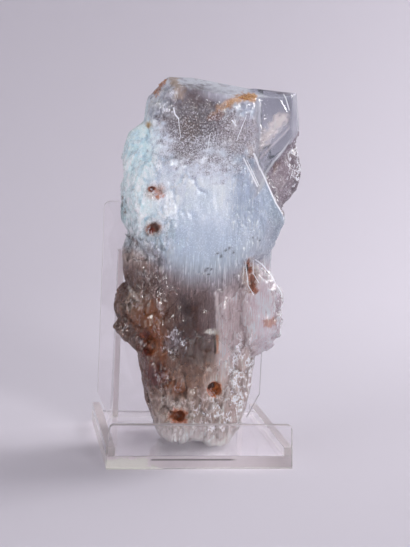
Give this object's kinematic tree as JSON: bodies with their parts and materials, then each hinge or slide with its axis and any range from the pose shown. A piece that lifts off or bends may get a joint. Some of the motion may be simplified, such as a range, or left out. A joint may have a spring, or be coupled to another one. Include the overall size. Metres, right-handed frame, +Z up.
{
  "type": "topaz crystal on a display stand",
  "caption": "Tall etched topaz, pale blue above and smoky brown below, leaning upright in a clear acrylic display stand.",
  "frame": {"origin": "centre of the stand's underside", "axes": "+Z up, -Y towards the viewer through the low front lip, +X to the viewer's right"},
  "size_m": [0.0848, 0.077, 0.1558],
  "materials": {
    "topaz": "etched and milky over most of it, glassy at the upper right",
    "acrylic": "clear and polished, with sawn edges that look whitish"
  },
  "bodies": {
    "root": {"topaz_crystal": "topaz", "stand_base": "acrylic", "stand_front_lip": "acrylic", "stand_back_plate": "acrylic", "stand_rib_left": "acrylic", "stand_rib_right": "acrylic", "stand_rail_left": "acrylic", "stand_rail_right": "acrylic"}
  },
  "joints": []
}
